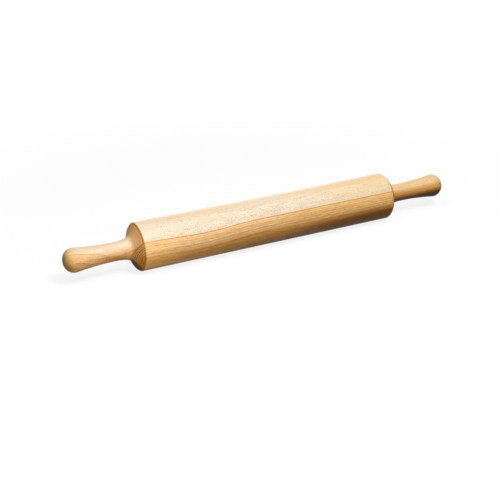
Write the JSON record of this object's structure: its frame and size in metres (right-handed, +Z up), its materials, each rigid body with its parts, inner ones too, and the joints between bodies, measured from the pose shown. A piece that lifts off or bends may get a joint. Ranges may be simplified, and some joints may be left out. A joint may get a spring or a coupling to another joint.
{
  "type": "rolling pin",
  "caption": "Beech rolling pin turned in one piece: a plain cylindrical barrel that flows through coved shoulders into waisted, round-ended fixed handles, from a laminated blank.",
  "frame": {"origin": "centre of the pin, on its turning axis, midway between the tips of the handles", "axes": "+X along the turning axis towards the handle farther from the camera in the picture; +Z up as the pin lies on a worktop in the picture, with its lowest line at z = -0.030 m; -Y towards the camera's side"},
  "size_m": [0.5372, 0.06, 0.06],
  "materials": {
    "beech_flecked": "turned, sanded and lightly oiled pale beech with ray flecks",
    "wood_glue": "cured wood glue, sanded flush with the beech",
    "beech_plain": "turned, sanded and lightly oiled honey-coloured beech with straight grain"
  },
  "bodies": {
    "root": {"upper_board": "beech_flecked", "glue_line": "wood_glue", "lower_board": "beech_plain"}
  },
  "joints": []
}
